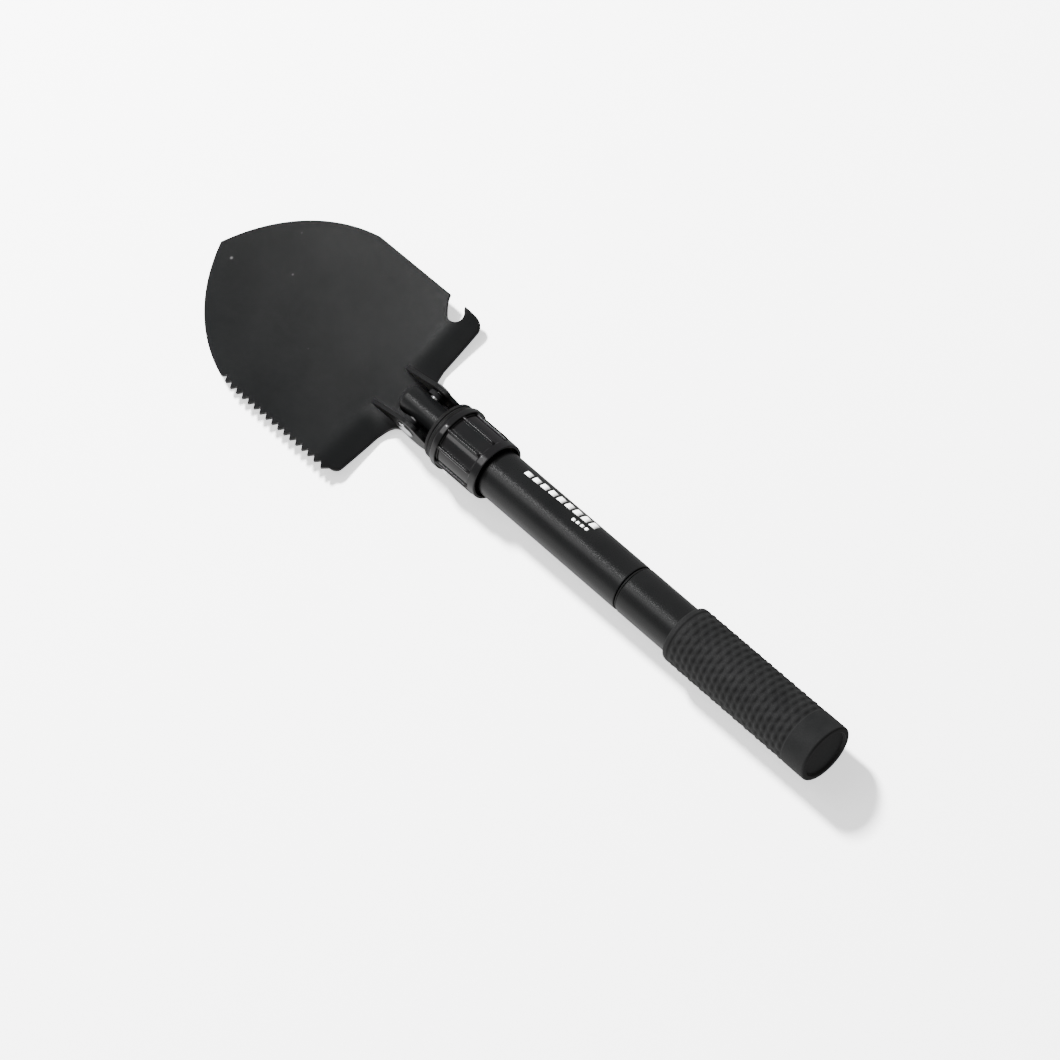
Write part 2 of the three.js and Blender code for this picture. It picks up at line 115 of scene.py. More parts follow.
def material(
    name, dark, light, rough, cloud, grain, bump, metallic=0.0, stretch=None, specks=None, specular=0.5
):
    """A procedural finish: clouds in the colour, grain in the roughness and fine relief in the normal.

    Dark and light are the cloud's colours, rough the range of the roughness, cloud and grain the noise
    scales, bump the relief's strength, stretch the scale along each axis and specks a (scale, colour).
    """
    made = bpy.data.materials.new(name)
    made.use_nodes = True
    nodes, links = made.node_tree.nodes, made.node_tree.links
    shader = nodes["Principled BSDF"]
    shader.inputs["Metallic"].default_value = metallic
    shader.inputs["Specular IOR Level"].default_value = specular
    where = nodes.new("ShaderNodeTexCoord").outputs["Object"]
    if stretch:
        mapping = nodes.new("ShaderNodeMapping")
        mapping.inputs["Scale"].default_value = stretch
        links.new(where, mapping.inputs["Vector"])
        where = mapping.outputs["Vector"]
    clouds = noise(nodes, links, where, cloud, 4)
    colour = ramp(nodes, links, clouds, [(LOW_STOP, dark), (HIGH_STOP, light)])
    if specks:
        size, tint = specks
        cells = nodes.new("ShaderNodeTexVoronoi")
        cells.inputs["Scale"].default_value = size
        links.new(where, cells.inputs["Vector"])
        shown = ramp(nodes, links, cells.outputs["Distance"], [(0.0, (1, 1, 1)), (SPECK_EDGE, (0, 0, 0))])
        mix = nodes.new("ShaderNodeMix")
        mix.data_type = "RGBA"
        links.new(shown, mix.inputs[0])
        links.new(colour, mix.inputs[6])
        links.new(ramp(nodes, links, clouds, [(0.35, dark), (0.65, tint)]), mix.inputs[7])
        colour = mix.outputs[2]
    links.new(colour, shader.inputs["Base Color"])
    fine = noise(nodes, links, where, grain, 3)
    stops = [(LOW_STOP, (rough[0],) * 3), (HIGH_STOP, (rough[1],) * 3)]
    links.new(ramp(nodes, links, fine, stops), shader.inputs["Roughness"])
    relief = nodes.new("ShaderNodeBump")
    relief.inputs["Strength"].default_value = bump
    relief.inputs["Distance"].default_value = RELIEF_DEPTH
    links.new(noise(nodes, links, where, grain * RELIEF_FINENESS, 5), relief.inputs["Height"])
    links.new(relief.outputs["Normal"], shader.inputs["Normal"])
    return made


MATERIALS = {
    "blade_coat": material(
        "blade_powder_coat", (0.002, 0.0021, 0.0022), (0.0038, 0.0039, 0.004), (0.28, 0.36), 22, 1400, 0.35,
        specks=(52, (0.2, 0.2, 0.2)), specular=0.28,
    ),
    "tube_coat": material(
        "tube_satin_coat", (0.0022, 0.0023, 0.0024), (0.0036, 0.0037, 0.0038), (0.26, 0.34), 40, 1800, 0.15,
        specular=0.32,
    ),
    "bright_steel": material(
        "bright_steel", (0.62, 0.62, 0.63), (0.78, 0.78, 0.79), (0.14, 0.26), 300, 900, 0.2,
        metallic=1.0, stretch=(1, 4, 1),
    ),
    "dark_steel": material(
        "dark_zinc_steel", (0.14, 0.145, 0.15), (0.22, 0.225, 0.23), (0.3, 0.45), 200, 1200, 0.2,
        metallic=1.0, stretch=(4, 1, 1),
    ),
    "brass": material(
        "turned_brass", (0.6, 0.45, 0.2), (0.72, 0.58, 0.3), (0.2, 0.35), 200, 1200, 0.2,
        metallic=1.0, stretch=(5, 1, 1),
    ),
    "nut_plastic": material(
        "gloss_plastic", (0.0018, 0.0018, 0.002), (0.003, 0.003, 0.0032), (0.1, 0.16), 60, 500, 0.012,
        specular=0.5,
    ),
    "washer_rubber": material(
        "dull_rubber", (0.002, 0.002, 0.002), (0.004, 0.004, 0.004), (0.42, 0.54), 120, 1500, 0.3,
        specular=0.3,
    ),
    "grip_rubber": material(
        "grip_rubber", (0.0045, 0.0046, 0.0047), (0.007, 0.0071, 0.0072), (0.55, 0.65), 90, 1600, 0.35,
        specular=0.3,
    ),
    "inner_plastic": material(
        "matt_plastic", (0.003, 0.003, 0.0032), (0.005, 0.005, 0.0052), (0.5, 0.65), 90, 1300, 0.3,
        specular=0.3,
    ),
    "marking": material(
        "white_print", (0.78, 0.78, 0.77), (0.86, 0.86, 0.85), (0.45, 0.6), 150, 1700, 0.15
    ),
}


# ---------------------------------------------------------------- building
def piece(name, verts, faces, body, slot, stands_for=(), look=None):
    """A smooth mesh piece that rides on a body, takes a slot's finish and stands for CAD nodes."""
    mesh = bpy.data.meshes.new(name)
    mesh.from_pydata([tuple(v) for v in verts], [], faces)
    made = bmesh.new()
    made.from_mesh(mesh)
    bmesh.ops.recalc_face_normals(made, faces=made.faces)
    made.to_mesh(mesh)
    made.free()
    mesh.shade_smooth()
    obj = bpy.data.objects.new(name, mesh)
    bpy.context.scene.collection.objects.link(obj)
    mesh.materials.append(MATERIALS[look or slot])
    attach(obj, body)
    if stands_for:
        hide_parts(*stands_for)
    return obj


def weigh(obj):
    """Keeps flat faces flat beside their rounded edges."""
    weighted = obj.modifiers.new("weighted", "WEIGHTED_NORMAL")
    weighted.mode = "FACE_AREA"
    weighted.weight = 50


def rounded(points, closed=True, steps=5):
    """A profile with its corners rounded. Points are (along, radius, size of the round)."""
    out = []
    count = len(points)
    for i, (x, r, size) in enumerate(points):
        if not size or (not closed and i in (0, count - 1)):
            out.append((x, r))
            continue
        here = Vector((x, r))
        before = Vector(points[i - 1][:2]) - here
        after = Vector(points[(i + 1) % count][:2]) - here
        half = before.angle(after) / 2
        reach = min(size / math.tan(half), before.length * 0.49, after.length * 0.49)
        start, end = here + before.normalized() * reach, here + after.normalized() * reach
        for k in range(steps + 1):
            t = k / steps
            bend = start.lerp(here, t).lerp(here.lerp(end, t), t)
            out.append((bend.x, bend.y))
    return out


def turned(name, profile, body, slot, stands_for, closed=True, angles=160, raised=None, axis="X"):
    """A profile of (along, radius) turned about the X or Y axis.

    What raised(along, radius, angle) gives is added to the radius.
    """
    if isinstance(angles, int):
        angles = [FULL_TURN * k / angles for k in range(angles)]
    verts, rings = [], []
    for x, r in profile:
        ring = []
        for a in [0.0] if r < 1e-6 else angles:
            far = r + (raised(x, r, a) if raised else 0)
            ring.append(len(verts))
            if axis == "X":
                verts.append(spot(x, far * math.cos(a), far * math.sin(a)))
            else:
                verts.append(spot(far * math.cos(a), x, far * math.sin(a)))
        rings.append(ring)
    faces = []
    for i in range(len(rings) if closed else len(rings) - 1):
        one, two = rings[i], rings[(i + 1) % len(rings)]
        if len(one) == len(two) == 1:
            continue
        for k in range(len(angles)):
            n = (k + 1) % len(angles)
            if len(one) == 1:
                faces.append((one[0], two[k], two[n]))
            elif len(two) == 1:
                faces.append((one[k], two[0], one[n]))
            else:
                faces.append((one[k], two[k], two[n], one[n]))
    weigh(piece(name, verts, faces, body, slot, stands_for))


def inside(loops, points):
    """Which points lie inside the outer loop and outside its holes."""
    points = np.asarray(points, float).reshape(-1, 2)
    hit = np.zeros(len(points), bool)
    for loop in loops:
        a = np.asarray(loop, float)
        b = np.roll(a, -1, axis=0)
        for (x0, y0), (x1, y1) in zip(a, b):
            if y0 == y1:
                continue
            crosses = (y0 > points[:, 1]) != (y1 > points[:, 1])
            at = x0 + (points[:, 1] - y0) / (y1 - y0) * (x1 - x0)
            hit ^= crosses & (points[:, 0] < at)
    return hit


def inset(loop, amount):
    """A loop moved inwards by amount, towards its left side; corners are mitred, up to a limit."""
    a = np.asarray(loop, float)
    ahead = np.roll(a, -1, axis=0) - a
    ahead /= np.linalg.norm(ahead, axis=1)[:, None]
    left = np.stack([-ahead[:, 1], ahead[:, 0]], axis=1)
    both = left + np.roll(left, 1, axis=0)
    both /= np.maximum(np.linalg.norm(both, axis=1), 0.2)[:, None]
    reach = 1 / np.maximum((both * left).sum(1), 0.6)
    return a + both * reach[:, None] * amount


def plate(name, loops, place, thick, edge, cell, body, slot, stands_for):
    """A plate with rounded edges. Loops are an outline, anticlockwise, and clockwise holes.

    What place(u, v, depth) gives is the point at a depth from the plate's first face.
    """
    loops = [np.asarray(loop, float) for loop in loops]
    turns = [math.pi / 2 * k / 3 for k in range(4)]
    levels = [(edge * (1 - math.sin(t)), edge * (1 - math.cos(t))) for t in turns]
    levels += [(shift, thick - depth) for shift, depth in reversed(levels)]
    flats = [inset(loop, edge) for loop in loops]
    low, high = flats[0].min(0), flats[0].max(0)
    us = np.arange(low[0] + cell / 2, high[0], cell)
    vs = np.arange(low[1] + cell / 2, high[1], cell)
    grid = np.stack(np.meshgrid(us, vs), -1).reshape(-1, 2)
    grid = grid[inside(flats, grid)]
    rim = np.concatenate(flats)
    far = np.array([np.min(np.hypot(*(rim - p).T)) > cell * 0.55 for p in grid])
    grid = grid[far] if len(grid) else grid
    flat = [Vector(p) for p in np.concatenate([rim, grid])]
    edges, start = [], 0
    for loop in flats:
        edges += [(start + k, start + (k + 1) % len(loop)) for k in range(len(loop))]
        start += len(loop)
    coords, _, cells, source, _, _ = delaunay_2d_cdt(flat, edges, [], 0, 1e-7)
    first = [s[0] for s in source]
    middles = [sum((np.array(coords[i]) for i in f), np.zeros(2)) / len(f) for f in cells]
    keep = inside(flats, middles)
    caps = [[first[i] for i in f] for f, k in zip(cells, keep) if k]
    count = len(flat)  # the first face's points come first, then the other face's in the same order
    verts = [place(p.x, p.y, 0) for p in flat] + [place(p.x, p.y, thick) for p in flat]
    faces = caps + [[count + i for i in reversed(f)] for f in caps]
    start = 0
    for loop in loops:
        size = len(loop)
        rings = [[start + k for k in range(size)]]
        for shift, depth in levels[1:-1]:
            moved = inset(loop, shift)
            rings.append([len(verts) + k for k in range(size)])
            verts += [place(u, v, depth) for u, v in moved]
        rings.append([count + start + k for k in range(size)])
        for one, two in zip(rings, rings[1:]):
            faces += [(one[k], two[k], two[(k + 1) % size], one[(k + 1) % size]) for k in range(size)]
        start += size
    weigh(piece(name, verts, faces, body, slot, stands_for))


def arc(cx, cy, radius, start, end, steps):
    """Points of an arc between two angles in degrees."""
    turns = [math.radians(start + (end - start) * k / steps) for k in range(steps + 1)]
    return [(cx + radius * math.cos(t), cy + radius * math.sin(t)) for t in turns]


def curve(start, bend, end, steps):
    """Points of a quadratic curve, without its first."""
    a, b, c = Vector(start), Vector(bend), Vector(end)
    ts = [k / steps for k in range(1, steps + 1)]
    return [tuple(a.lerp(b, t).lerp(b.lerp(c, t), t)) for t in ts]


def line(start, end, step):
    """Points along a line at most step apart, without its first."""
    a, b = Vector(start), Vector(end)
    count = max(1, math.ceil((b - a).length / step))
    return [tuple(a.lerp(b, k / count)) for k in range(1, count + 1)]


# ---------------------------------------------------------------- blade
plate_low, plate_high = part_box("blade_plate")
TIP_X = design_x(plate_low.x)
HALF_WIDTH = plate_high.y / MM
NOSE_END_X = -89
NOSE_RADIUS = 86.7
SHEET = 2.0
CREASE_X = -27.6
CREASE_Z = -9.6
CREASE_RADIUS = 4
FRONT_SLOPE = 0.036
SHOULDER_SLOPE = 0.36
NECK_FLAT_Y = 8
BEND_FULL_Y = 22
DISH = 3
SHOULDER_X = -16.2
SHOULDER_FALL = 0.7
SHOULDER_HALF_WIDTH = 22
CORNER_RADIUS = 5.4
SAW_CORNER_RADIUS = 4
NECK_X = -8.4
NECK_HALF_WIDTH = 12.3
TOOTH_PITCH = 4.37
TOOTH_DEPTH = 2.8
TOOTH_COUNT = 17
SAW_FRONT_X = -96.8
NOTCH = (-29.5, 45.5)
NOTCH_RADIUS = 4.2
NOTCH_FRONT_X = -38.6
HOOK_X = -28
END_CROWDING = 1.15  # power of the outline's spacing, which crowds its points towards the tip
EDGE_STEP = 2.5
TOOTH_STEP = 1.2


def blade_top(x, y):
    """Height of the blade's hollow side."""
    past = x - CREASE_X
    bent = 0
    if past > CREASE_RADIUS:
        bent = past
    elif past > -CREASE_RADIUS:
        bent = (past + CREASE_RADIUS) ** 2 / (4 * CREASE_RADIUS)
    t = min(max((abs(y) - NECK_FLAT_Y) / (BEND_FULL_Y - NECK_FLAT_Y), 0), 1)
    fall = SHOULDER_SLOPE * t * t * (3 - 2 * t)
    return CREASE_Z + FRONT_SLOPE * past - (FRONT_SLOPE + fall) * bent + DISH * (y / HALF_WIDTH) ** 2


def nose_half_width(x):
    """Half the blade's width ahead of its straight sides."""
    reach = NOSE_END_X - TIP_X
    chord = math.hypot(reach, HALF_WIDTH)
    to_centre = math.sqrt(NOSE_RADIUS**2 - (chord / 2) ** 2)
    centre_x = (TIP_X + NOSE_END_X) / 2 + to_centre * HALF_WIDTH / chord
    centre_y = HALF_WIDTH / 2 - to_centre * reach / chord
    return centre_y + math.sqrt(NOSE_RADIUS**2 - (x - centre_x) ** 2)


def blade_outline():
    """The outline from the tip along the saw side, round the neck and back along the opener side."""
    out = [(TIP_X, 0)]
    steps = 46
    for k in range(1, steps):
        x = TIP_X + (SAW_FRONT_X - TIP_X) * (k / steps) ** END_CROWDING
        out.append((x, -nose_half_width(x)))
    for k in range(TOOTH_COUNT):
        front = SAW_FRONT_X + TOOTH_PITCH * k
        middle = front + TOOTH_PITCH / 2
        half = [HALF_WIDTH if x >= NOSE_END_X else nose_half_width(x) for x in (front, middle)]
        out.append((front, -half[0]))
        out += line((front, -half[0]), (middle, TOOTH_DEPTH - half[1]), TOOTH_STEP)[:-1]
        out.append((middle, TOOTH_DEPTH - half[1]))
        out += line(out[-1], (front + TOOTH_PITCH, -HALF_WIDTH), TOOTH_STEP)[:-1]
    out.append((SAW_FRONT_X + TOOTH_PITCH * TOOTH_COUNT, -HALF_WIDTH))
    valley = TOOTH_DEPTH - HALF_WIDTH
    out += arc(SHOULDER_X - SAW_CORNER_RADIUS, valley + SAW_CORNER_RADIUS, SAW_CORNER_RADIUS, -90, 0, 12)
    shoulder = SHOULDER_X + SHOULDER_FALL
    out += line(out[-1], (shoulder, -SHOULDER_HALF_WIDTH), EDGE_STEP)
    out += curve(out[-1], (shoulder + 1.5, -NECK_HALF_WIDTH - 1.5), (NECK_X, -NECK_HALF_WIDTH), 12)
    out += line(out[-1], (NECK_X, NECK_HALF_WIDTH), EDGE_STEP)
    out += curve(out[-1], (shoulder + 1.5, NECK_HALF_WIDTH + 1.5), (shoulder, SHOULDER_HALF_WIDTH), 12)
    corner = (SHOULDER_X - CORNER_RADIUS, HALF_WIDTH - CORNER_RADIUS)
    out += line(out[-1], (SHOULDER_X, corner[1]), EDGE_STEP)[:-1]
    out += arc(*corner, CORNER_RADIUS, 0, 90, 14)
    out += line(out[-1], (HOOK_X, HALF_WIDTH), EDGE_STEP)
    bottom = arc(*NOTCH, NOTCH_RADIUS, 45, -135, 30)
    out += curve(out[-1], (HOOK_X, NOTCH[1] + NOTCH_RADIUS), bottom[0], 8)
    out += bottom[1:]
    out += curve(out[-1], (NOTCH_FRONT_X + 1, NOTCH[1] + 1.8), (NOTCH_FRONT_X, HALF_WIDTH), 14)
    out += line(out[-1], (NOSE_END_X, HALF_WIDTH), EDGE_STEP)
    for k in range(1, 60):
        x = NOSE_END_X + (TIP_X - NOSE_END_X) * (1 - (1 - k / 60) ** END_CROWDING)
        out.append((x, nose_half_width(x)))
    return out


plate(
    "blade", [blade_outline()], lambda u, v, depth: spot(u, v, blade_top(u, v) - depth), SHEET, 0.22, 2.2,
    "blade", "blade_coat", ["blade_plate"],
)

# ---------------------------------------------------------------- ears and rivet
EAR_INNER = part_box("ear_opener_side")[0].y / MM
EAR_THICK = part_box("ear_opener_side")[1].y / MM - EAR_INNER
WEB_RADIUS = 12.65  # inside of the web that joins the ears below the stem
EAR_HEEL_RADIUS = WEB_RADIUS + SHEET
EAR_NOSE_X = -26.7
EAR_NOSE_HEIGHT = 3.3
EAR_TOP = (-2, 7.4)
EAR_PEAK_Z = 9.15
EAR_FLAT_X = 6.6
EAR_REAR_X = 9
SEAT_GAP = 0.05  # between an ear and the blade under it
EAR_REAR_BEND = (14.0, 3.6)
RIVET_HOLE_RADIUS = 3.0
RIVET_SHANK_RADIUS = 2.7
RIVET_HEAD_RADIUS = 4.8
RIVET_HEAD_HEIGHT = 1.45
WEB_START_DEG, WEB_END_DEG = -133, -43
WEB_GAP = 0.02


def ear_outline():
    """An ear's outline in X and Z, anticlockwise."""
    out = []
    count = 14
    for k in range(count + 1):
        x = EAR_NOSE_X + (NECK_X - EAR_NOSE_X) * k / count
        out.append((x, blade_top(x, EAR_INNER) + SEAT_GAP))
    heel_end = math.degrees(math.acos((NECK_X + 0.3) / EAR_HEEL_RADIUS))
    out += arc(0, 0, EAR_HEEL_RADIUS, -heel_end, 4, 46)
    rear = (EAR_REAR_X, EAR_PEAK_Z - 2.5)
    flat = (EAR_FLAT_X, EAR_PEAK_Z - 0.3)
    out += curve(out[-1], EAR_REAR_BEND, rear, 8)
    out += curve(rear, (EAR_FLAT_X + 1.4, EAR_PEAK_Z - 0.7), flat, 6)
    peak = (EAR_TOP[0] + 5, EAR_PEAK_Z)
    out += line(flat, peak, 1.5)
    out += curve(peak, (EAR_TOP[0] + 2, EAR_PEAK_Z - 0.1), EAR_TOP, 6)
    nose = (EAR_NOSE_X, blade_top(EAR_NOSE_X, EAR_INNER) + EAR_NOSE_HEIGHT)
    out += line(EAR_TOP, nose, 1.5)
    out += line(nose, out[0], 0.8)[:-1]
    return out


hole = arc(0, 0, RIVET_HOLE_RADIUS, 360, 0, 32)[:-1]
for name, node, side in [("ear_left", "ear_saw_side", -1), ("ear_right", "ear_opener_side", 1)]:
    plate(
        name, [ear_outline(), hole],
        lambda u, v, depth, side=side: spot(u, side * (EAR_INNER + EAR_THICK - depth), v),
        EAR_THICK, 0.3, 2.0, "blade", "blade_coat", [node],
    )

web = arc(0, 0, EAR_HEEL_RADIUS, WEB_START_DEG, WEB_END_DEG, 40)
web += arc(0, 0, WEB_RADIUS, WEB_END_DEG, WEB_START_DEG, 40)
plate(
    "web", [web], lambda u, v, depth: spot(u, depth - EAR_INNER + WEB_GAP, v), 2 * (EAR_INNER - WEB_GAP),
    0.25, 2.0, "blade", "blade_coat", [],
)

face = EAR_INNER + EAR_THICK + 0.05
dome = []
for k in range(15):
    t = math.pi / 2 * k / 14
    dome.append((-face - 0.35 - RIVET_HEAD_HEIGHT * math.cos(t), RIVET_HEAD_RADIUS * math.sin(t)))
turned(
    "rivet",
    dome
    + rounded(
        [
            (-face, RIVET_HEAD_RADIUS, 0.1), (-face, RIVET_SHANK_RADIUS, 0), (face, RIVET_SHANK_RADIUS, 0),
            (face, RIVET_HEAD_RADIUS, 0.1), (face + 1.0, RIVET_HEAD_RADIUS, 0.5),
            (face + RIVET_HEAD_HEIGHT, 3.4, 0.4), (face + RIVET_HEAD_HEIGHT, 1.2, 0.2), (face + 1.1, 0, 0),
        ],
        closed=False,
    ),
    "blade", "bright_steel", ["hinge_rivet"], closed=False, angles=96, axis="Y",
)

# ---------------------------------------------------------------- stem and washer
stem_low, stem_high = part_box("hinge_stem")
STEM_X0, STEM_X1 = design_x(stem_low.x), design_x(stem_high.x)
STEM_RADIUS = (stem_high.z - stem_low.z) / 2 / MM
turned(
    "stem",
    rounded(
        [(STEM_X0, 0, 0), (STEM_X0, STEM_RADIUS, 3.2), (STEM_X1, STEM_RADIUS, 0.3), (STEM_X1, 0, 0)],
        closed=False, steps=9,
    ),
    "handle", "tube_coat", ["hinge_stem"], closed=False,
)

washer_low, washer_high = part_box("thrust_washer")
WASHER_X0, WASHER_X1 = design_x(washer_low.x), design_x(washer_high.x)
WASHER_RADIUS = washer_high.y / MM
WASHER_BORE = STEM_RADIUS + 0.3
turned(
    "washer",
    rounded(
        [
            (WASHER_X0, WASHER_BORE, 0.2), (WASHER_X0, WASHER_RADIUS - 0.1, 0.45),
            (WASHER_X0 + 1.5, WASHER_RADIUS, 0.2), (WASHER_X0 + 2.0, WASHER_RADIUS - 0.5, 0.2),
            (WASHER_X0 + 2.5, WASHER_RADIUS, 0.2), (WASHER_X1, WASHER_RADIUS, 0.4),
            (WASHER_X1, WASHER_BORE, 0.2),
        ]
    ),
    "washer", "washer_rubber", ["thrust_washer"],
)

# ---------------------------------------------------------------- lock nut
nut_low, nut_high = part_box("lock_nut")
NUT_X0, NUT_X1 = design_x(nut_low.x), design_x(nut_high.x)
RIM_RADIUS = nut_high.y / MM
RIM_END_X = 24.8
FLUTE_RADIUS = 14.55
RIB_RADIUS = 15.75
RIB_END_X = 45.2
TAIL_RADIUS = 14.9
TAIL_X = RIB_END_X + 0.9
NUT_BORE = 13.5
NUT_WALL_END_X = 23.6
NUT_MOUTH = STEM_RADIUS + 0.6
RIB_COUNT = 10
RIB_HALF_WIDTH = 1.05
RIB_FADE = 1.2  # length over which a rib's end slopes down
FIRST_RIB = math.radians(26)


def rib(x, radius, angle):
    """How far a rib stands over the nut's barrel."""
    on_barrel = NUT_BORE + 0.5 <= radius <= RIB_RADIUS - 0.05
    if not on_barrel or not RIM_END_X - 0.01 <= x <= TAIL_X:
        return 0
    step = FULL_TURN / RIB_COUNT
    off = (angle - FIRST_RIB + step / 2) % step - step / 2
    across = abs(off) * RIB_RADIUS
    body = math.sqrt(max(1 - (across / RIB_HALF_WIDTH) ** 2, 0))
    end = 1 - min(max((x - RIB_END_X + 1.1) / RIB_FADE, 0), 1) ** 2
    return (RIB_RADIUS - radius) * body * math.sqrt(max(end, 0))


rib_offsets = [RIB_HALF_WIDTH * math.sin(math.pi * k / 20) for k in range(11)]
rib_offsets += [1.25, 2.0, 3.0, 4.2]
nut_angles = []
for k in range(RIB_COUNT):
    centre = FIRST_RIB + FULL_TURN * k / RIB_COUNT
    nut_angles += [centre + s * o / RIB_RADIUS for s in (-1, 1) for o in rib_offsets if s > 0 or o > 0]
nut_angles = sorted(a % FULL_TURN for a in nut_angles)
barrel_xs = [RIM_END_X + 0.5 + d for d in (3, 6, 10, 14, 17, 18.5)]
barrel_xs += [RIB_END_X - 1.1 + 1.3 * k / 10 for k in range(11)]
nut_profile = (
    rounded(
        [
            (NUT_X0, NUT_MOUTH, 0.2), (NUT_X0, RIM_RADIUS, 1.3), (RIM_END_X, RIM_RADIUS, 0.45),
            (RIM_END_X, FLUTE_RADIUS, 0.35), (RIM_END_X + 1.2, FLUTE_RADIUS, 0),
        ],
        closed=False,
    )
    + [(x, FLUTE_RADIUS) for x in barrel_xs]
    + rounded(
        [
            (RIB_END_X + 0.3, FLUTE_RADIUS, 0), (TAIL_X, TAIL_RADIUS, 0.4), (NUT_X1, TAIL_RADIUS - 0.1, 1.9),
            (NUT_X1, NUT_BORE, 0.3), (NUT_WALL_END_X, NUT_BORE, 0.2), (NUT_WALL_END_X, NUT_MOUTH, 0.2),
            (NUT_X0, NUT_MOUTH, 0),
        ],
        closed=False,
    )[:-1]
)
turned("nut", nut_profile, "nut", "nut_plastic", ["lock_nut"], angles=nut_angles, raised=rib)

# ---------------------------------------------------------------- tubes
TUBE_RADIUS = (tube_high.z - tube_low.z) / 2 / MM
TUBE_BORE = 10.7
seal_low, seal_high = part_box("joint_seal")
rear_low, rear_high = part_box("rear_tube")
SEAL_RADIUS = seal_high.y / MM
SEAL_BORE = 8.9
BORE_ROUND = 0.2


def sleeve(low, high, bore, radius, front_round, rear_round):
    """The profile of a straight sleeve with rounded edges, from low's X to high's X."""
    x0, x1 = design_x(low.x), design_x(high.x)
    front = [(x0, bore, BORE_ROUND), (x0, radius, front_round)]
    return rounded(front + [(x1, radius, rear_round), (x1, bore, BORE_ROUND)])


front_profile = sleeve(tube_low, tube_high, TUBE_BORE, TUBE_RADIUS, front_round=0.4, rear_round=0.5)
turned("tube_front", front_profile, "handle", "tube_coat", ["front_tube"])
seal_profile = sleeve(seal_low, seal_high, SEAL_BORE, SEAL_RADIUS, front_round=0.3, rear_round=0.3)
turned("seal", seal_profile, "seal", "washer_rubber", ["joint_seal"])
rear_profile = sleeve(rear_low, rear_high, TUBE_BORE, TUBE_RADIUS, front_round=0.5, rear_round=0.3)
turned("tube_rear", rear_profile, "rear_handle", "tube_coat", ["rear_tube"])

# ---------------------------------------------------------------- grip
grip_low, grip_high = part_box("rubber_grip")
GRIP_X0, GRIP_X1 = design_x(grip_low.x), design_x(grip_high.x)
GRIP_RADIUS = grip_high.y / MM
GRIP_BASE = GRIP_RADIUS - 0.45
GRIP_BORE = TUBE_RADIUS + 0.3
GRIP_WALL_X = 254  # inner face of the closed end
RECESS_DEPTH = 1.2
PIPS_X0 = GRIP_X0 + 4.0
PIPS_X1 = GRIP_X1 - 10.5
PIP_PITCH = 3.5
PIP_LENGTH = 1.45
PIP_HALF_WIDTH = 2.3
PIPS_ROUND = 17
PIP_ROWS = int((PIPS_X1 - PIPS_X0) / PIP_PITCH)
PIP_HEIGHT = 0.5


def pip(x, radius, angle):
    """How far a pip stands over the grip's base, in staggered rows."""
    if radius < GRIP_BASE - 0.01 or not PIPS_X0 <= x <= PIPS_X0 + PIP_ROWS * PIP_PITCH:
        return 0
    row = int((x - PIPS_X0) / PIP_PITCH)
    along = (x - PIPS_X0) / PIP_PITCH - row - 0.5
    step = FULL_TURN / PIPS_ROUND
    off = (angle + (row % 2) * step / 2) % step - step / 2
    far = (along * PIP_PITCH / PIP_LENGTH) ** 2 + (off * GRIP_RADIUS / PIP_HALF_WIDTH) ** 2
    return PIP_HEIGHT * max(0, 1 - far) ** 0.8


pip_steps = PIP_ROWS * 10
pip_xs = [PIPS_X0 + PIP_ROWS * PIP_PITCH * k / pip_steps for k in range(pip_steps + 1)]
BAND_X = pip_xs[-1] + 0.9
grip_profile = (
    rounded(
        [
            (GRIP_X0, GRIP_BORE, 0.3), (GRIP_X0, GRIP_RADIUS - 0.3, 1.5),
            (PIPS_X0 - 1.4, GRIP_RADIUS - 0.1, 0.9), (PIPS_X0 - 0.6, GRIP_BASE, 0.5),
            (PIPS_X0 - 0.1, GRIP_BASE, 0),
        ],
        closed=False,
    )
    + [(x, GRIP_BASE) for x in pip_xs]
    + rounded(
        [
            (pip_xs[-1] + 0.2, GRIP_BASE, 0), (BAND_X, GRIP_RADIUS - 0.05, 0.5), (GRIP_X1, GRIP_RADIUS, 1.5),
            (GRIP_X1, 12.0, 0.5), (GRIP_X1 - RECESS_DEPTH, 11.5, 0.3), (GRIP_X1 - RECESS_DEPTH, 0, 0),
        ],
        closed=False,
    )
    + [(GRIP_WALL_X, 0), (GRIP_WALL_X, GRIP_BORE)]
)
turned(
    "grip", grip_profile, "rear_handle", "grip_rubber", ["rubber_grip"],
    angles=PIPS_ROUND * 10, raised=pip,
)

# ---------------------------------------------------------------- marking
PRINT_LIFT = 0.01  # between the tube and the print
PRINT_FILM = 0.04


def print_row(name, blocks):
    """Thin printed blocks on the front tube, each between two X and two angles in degrees."""
    skin = TUBE_RADIUS + PRINT_LIFT
    count = 10
    n = count + 1
    verts, faces = [], []
    for x0, x1, first, last in blocks:
        turns = [math.radians(first + (last - first) * k / count) for k in range(n)]
        base = len(verts)
        for x in (x0, x1):
            for far in (skin, skin + PRINT_FILM):
                verts += [spot(x, far * math.cos(t), far * math.sin(t)) for t in turns]
        ring = []
        for k in range(count):
            ring.append((n + k, n + k + 1, 3 * n + k + 1, 3 * n + k))
            ring.append((k, 2 * n + k, 2 * n + k + 1, k + 1))
            ring.append((k, k + 1, n + k + 1, n + k))
            ring.append((2 * n + k, 3 * n + k, 3 * n + k + 1, 2 * n + k + 1))
        ring.append((0, n, 3 * n, 2 * n))
        ring.append((count, 2 * n + count, 3 * n + count, n + count))
        faces += [tuple(base + corner for corner in face) for face in ring]
    piece(name, verts, faces, "handle", "tube_coat", look="marking")


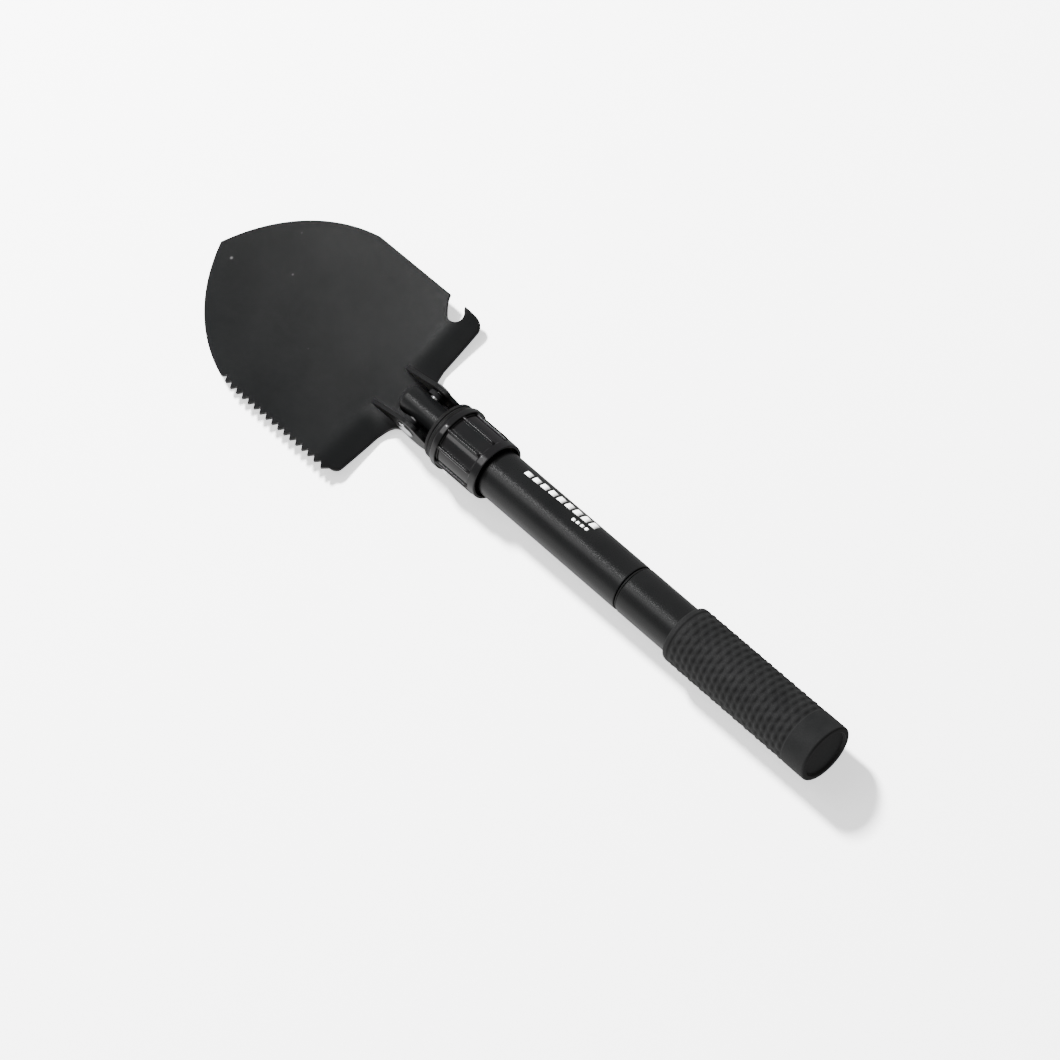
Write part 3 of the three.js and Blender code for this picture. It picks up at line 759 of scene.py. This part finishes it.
def spaced(count, start, pitch, width, first, last, first_turn, last_turn):
    """Blocks at a pitch along the tube; both angles in degrees fall by their turn from block to block."""
    blocks = []
    for k in range(count):
        x = start + pitch * k
        blocks.append((x, x + width, first - first_turn * k, last - last_turn * k))
    return blocks


long_blocks = spaced(
    count=9, start=65.5, pitch=5.1, width=3.9, first=45, last=59, first_turn=2.2, last_turn=1.1
)
short_blocks = spaced(
    count=4, start=99.5, pitch=2.6, width=1.7, first=64, last=71, first_turn=1, last_turn=1
)
print_row("marking_1", long_blocks)
print_row("marking_2", short_blocks)

# ---------------------------------------------------------------- inner nodes
INNER = {
    "hinge_bush": "brass",
    "hinge_spacer_saw_side": "inner_plastic",
    "hinge_spacer_opener_side": "inner_plastic",
    "nut_insert": "brass",
    "threaded_collar": "dark_steel",
    "stem_pin": "dark_steel",
    "coupling_socket": "dark_steel",
    "coupling_stud": "dark_steel",
    "tube_end_plug": "inner_plastic",
}
for name, finish in INNER.items():
    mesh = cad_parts[name].data
    mesh.materials.clear()
    mesh.materials.append(MATERIALS[finish])

# ---------------------------------------------------------------- floor and light
FLOOR_HALF = 4  # metres
FLOOR_GLOW = 1.15
floor_mesh = bpy.data.meshes.new("floor")
floor_corners = [(-FLOOR_HALF, -FLOOR_HALF, 0), (FLOOR_HALF, -FLOOR_HALF, 0)]
floor_corners += [(FLOOR_HALF, FLOOR_HALF, 0), (-FLOOR_HALF, FLOOR_HALF, 0)]
floor_mesh.from_pydata(floor_corners, [], [(0, 1, 2, 3)])
floor = bpy.data.objects.new("floor", floor_mesh)
bpy.context.scene.collection.objects.link(floor)
floor_look = material(
    "floor_pale", (0.92, 0.92, 0.92), (0.94, 0.94, 0.94), (0.7, 0.8), 3, 30, 0.0, specular=0.1
)
floor_shader = floor_look.node_tree.nodes["Principled BSDF"]
floor_shader.inputs["Emission Color"].default_value = (1, 1, 1, 1)
floor_shader.inputs["Emission Strength"].default_value = FLOOR_GLOW
floor_mesh.materials.append(floor_look)
floor.visible_glossy = False  # so the black coats show the sky's soft tones, not the glowing floor
floor.visible_diffuse = False

world = bpy.data.worlds.new("world")
bpy.context.scene.world = world
world.use_nodes = True
sky, sky_links = world.node_tree.nodes, world.node_tree.links
sky["Background"].inputs["Color"].default_value = (1, 1, 1, 1)
toward = sky.new("ShaderNodeSeparateXYZ")
sky_links.new(sky.new("ShaderNodeTexCoord").outputs["Generated"], toward.inputs[0])


def fade(value, start, end, low, high):
    """A smooth change from low to high as a direction's coordinate goes from start to end."""
    made = sky.new("ShaderNodeMapRange")
    made.interpolation_type = "SMOOTHSTEP"
    for name, setting in (("From Min", start), ("From Max", end), ("To Min", low), ("To Max", high)):
        made.inputs[name].default_value = setting
    sky_links.new(value, made.inputs["Value"])
    return made.outputs["Result"]


SKY_LIGHT, HORIZON_LIGHT = 0.35, 1.15
low_down = fade(toward.outputs["Z"], 0.5, 0.0, 0.0, HORIZON_LIGHT)
saw_side = fade(toward.outputs["Y"], -0.1, -0.7, 0.0, 1.0)
horizon = sky.new("ShaderNodeMath")
horizon.operation = "MULTIPLY_ADD"
sky_links.new(low_down, horizon.inputs[0])
sky_links.new(saw_side, horizon.inputs[1])
horizon.inputs[2].default_value = SKY_LIGHT
sky_links.new(horizon.outputs[0], sky["Background"].inputs["Strength"])
world.cycles.sampling_method = "NONE"


def area_light(name, place, size, power, glossy=True):
    """A light aimed at the origin; one that isn't glossy gives no highlights."""
    data = bpy.data.lights.new(name, "AREA")
    data.shape = "RECTANGLE"
    data.size, data.size_y = size
    data.energy = power
    lamp = bpy.data.objects.new(name, data)
    lamp.location = place
    lamp.rotation_euler = (-Vector(place)).to_track_quat("-Z", "Y").to_euler()
    lamp.visible_glossy = glossy
    bpy.context.scene.collection.objects.link(lamp)


area_light("key", (-1.75, 0.55, 1.85), (0.35, 0.35), 545, glossy=False)
area_light("softbox", (-0.9, -0.36, 1.85), (1.0, 1.3), 10.5)
area_light("glint", (-1.05, -0.04, 1.8), (0.12, 0.12), 2.2)
